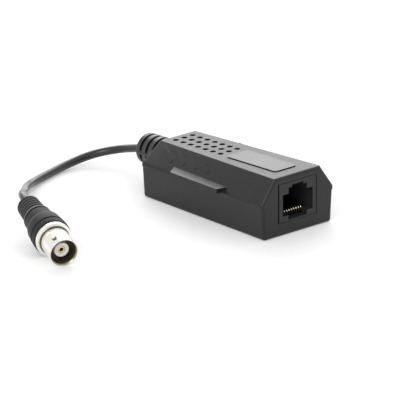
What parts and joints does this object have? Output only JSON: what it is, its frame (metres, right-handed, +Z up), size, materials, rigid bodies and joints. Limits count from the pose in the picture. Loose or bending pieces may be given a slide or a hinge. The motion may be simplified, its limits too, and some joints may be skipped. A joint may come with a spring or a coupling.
{
  "type": "ethernet over coax extender",
  "caption": "Small wedge-shaped adapter that carries network data over coaxial cable, with a network jack at one end and a short cable to a coaxial bayonet socket.",
  "frame": {"origin": "middle of the housing's flat base, on the surface it rests on", "axes": "+X along the housing towards the network jack, +Z up, +Y towards the side with the docking pocket"},
  "size_m": [0.0983, 0.0983, 0.0203],
  "materials": {
    "shell_plastic": "satin black moulded plastic",
    "label": "blank satin black film",
    "gland_rubber": "black moulded rubber",
    "jack_plastic": "black moulded plastic",
    "gold_wire": "gold-plated spring wire",
    "board": "green lacquered board",
    "package_plastic": "black moulded package",
    "tinned_metal": "tin-plated metal",
    "ferrite": "dark grey ferrite",
    "capacitor_can": "aluminium can",
    "ceramic": "pale ceramic",
    "enamelled_wire": "enamelled copper wire",
    "screw_steel": "dark plated steel",
    "cable_jacket": "black flexible jacket",
    "lead_insulation": "white insulation",
    "boot_rubber": "black moulded boot",
    "nickel_plating": "nickel plating",
    "white_insulator": "white insulator",
    "gold_plating": "gold plating"
  },
  "bodies": {
    "root": {"top_cover": "shell_plastic", "base_shell": "shell_plastic", "label_plate": "label", "strain_relief": "gland_rubber", "jack_housing": "jack_plastic", "contact_carrier": "jack_plastic", "jack_contacts": "gold_wire", "circuit_board": "board", "transformer_block": "package_plastic", "transformer_leads": "tinned_metal", "line_chip": "package_plastic", "chip_leads": "tinned_metal", "crystal_can": "tinned_metal", "power_inductor": "ferrite", "filter_capacitors": "capacitor_can", "surge_tube": "ceramic", "chip_parts": "ceramic", "toroid_core": "ferrite", "toroid_winding": "enamelled_wire", "case_screws": "screw_steel", "cable_inner_end": "cable_jacket", "core_lead": "lead_insulation", "braid_lead": "tinned_metal", "coax_cord": "cable_jacket", "cable_plug_end": "cable_jacket", "connector_boot": "boot_rubber", "crimp_ferrule": "nickel_plating", "connector_shell": "nickel_plating", "connector_insulator": "white_insulator", "centre_contact": "gold_plating"}
  },
  "joints": []
}
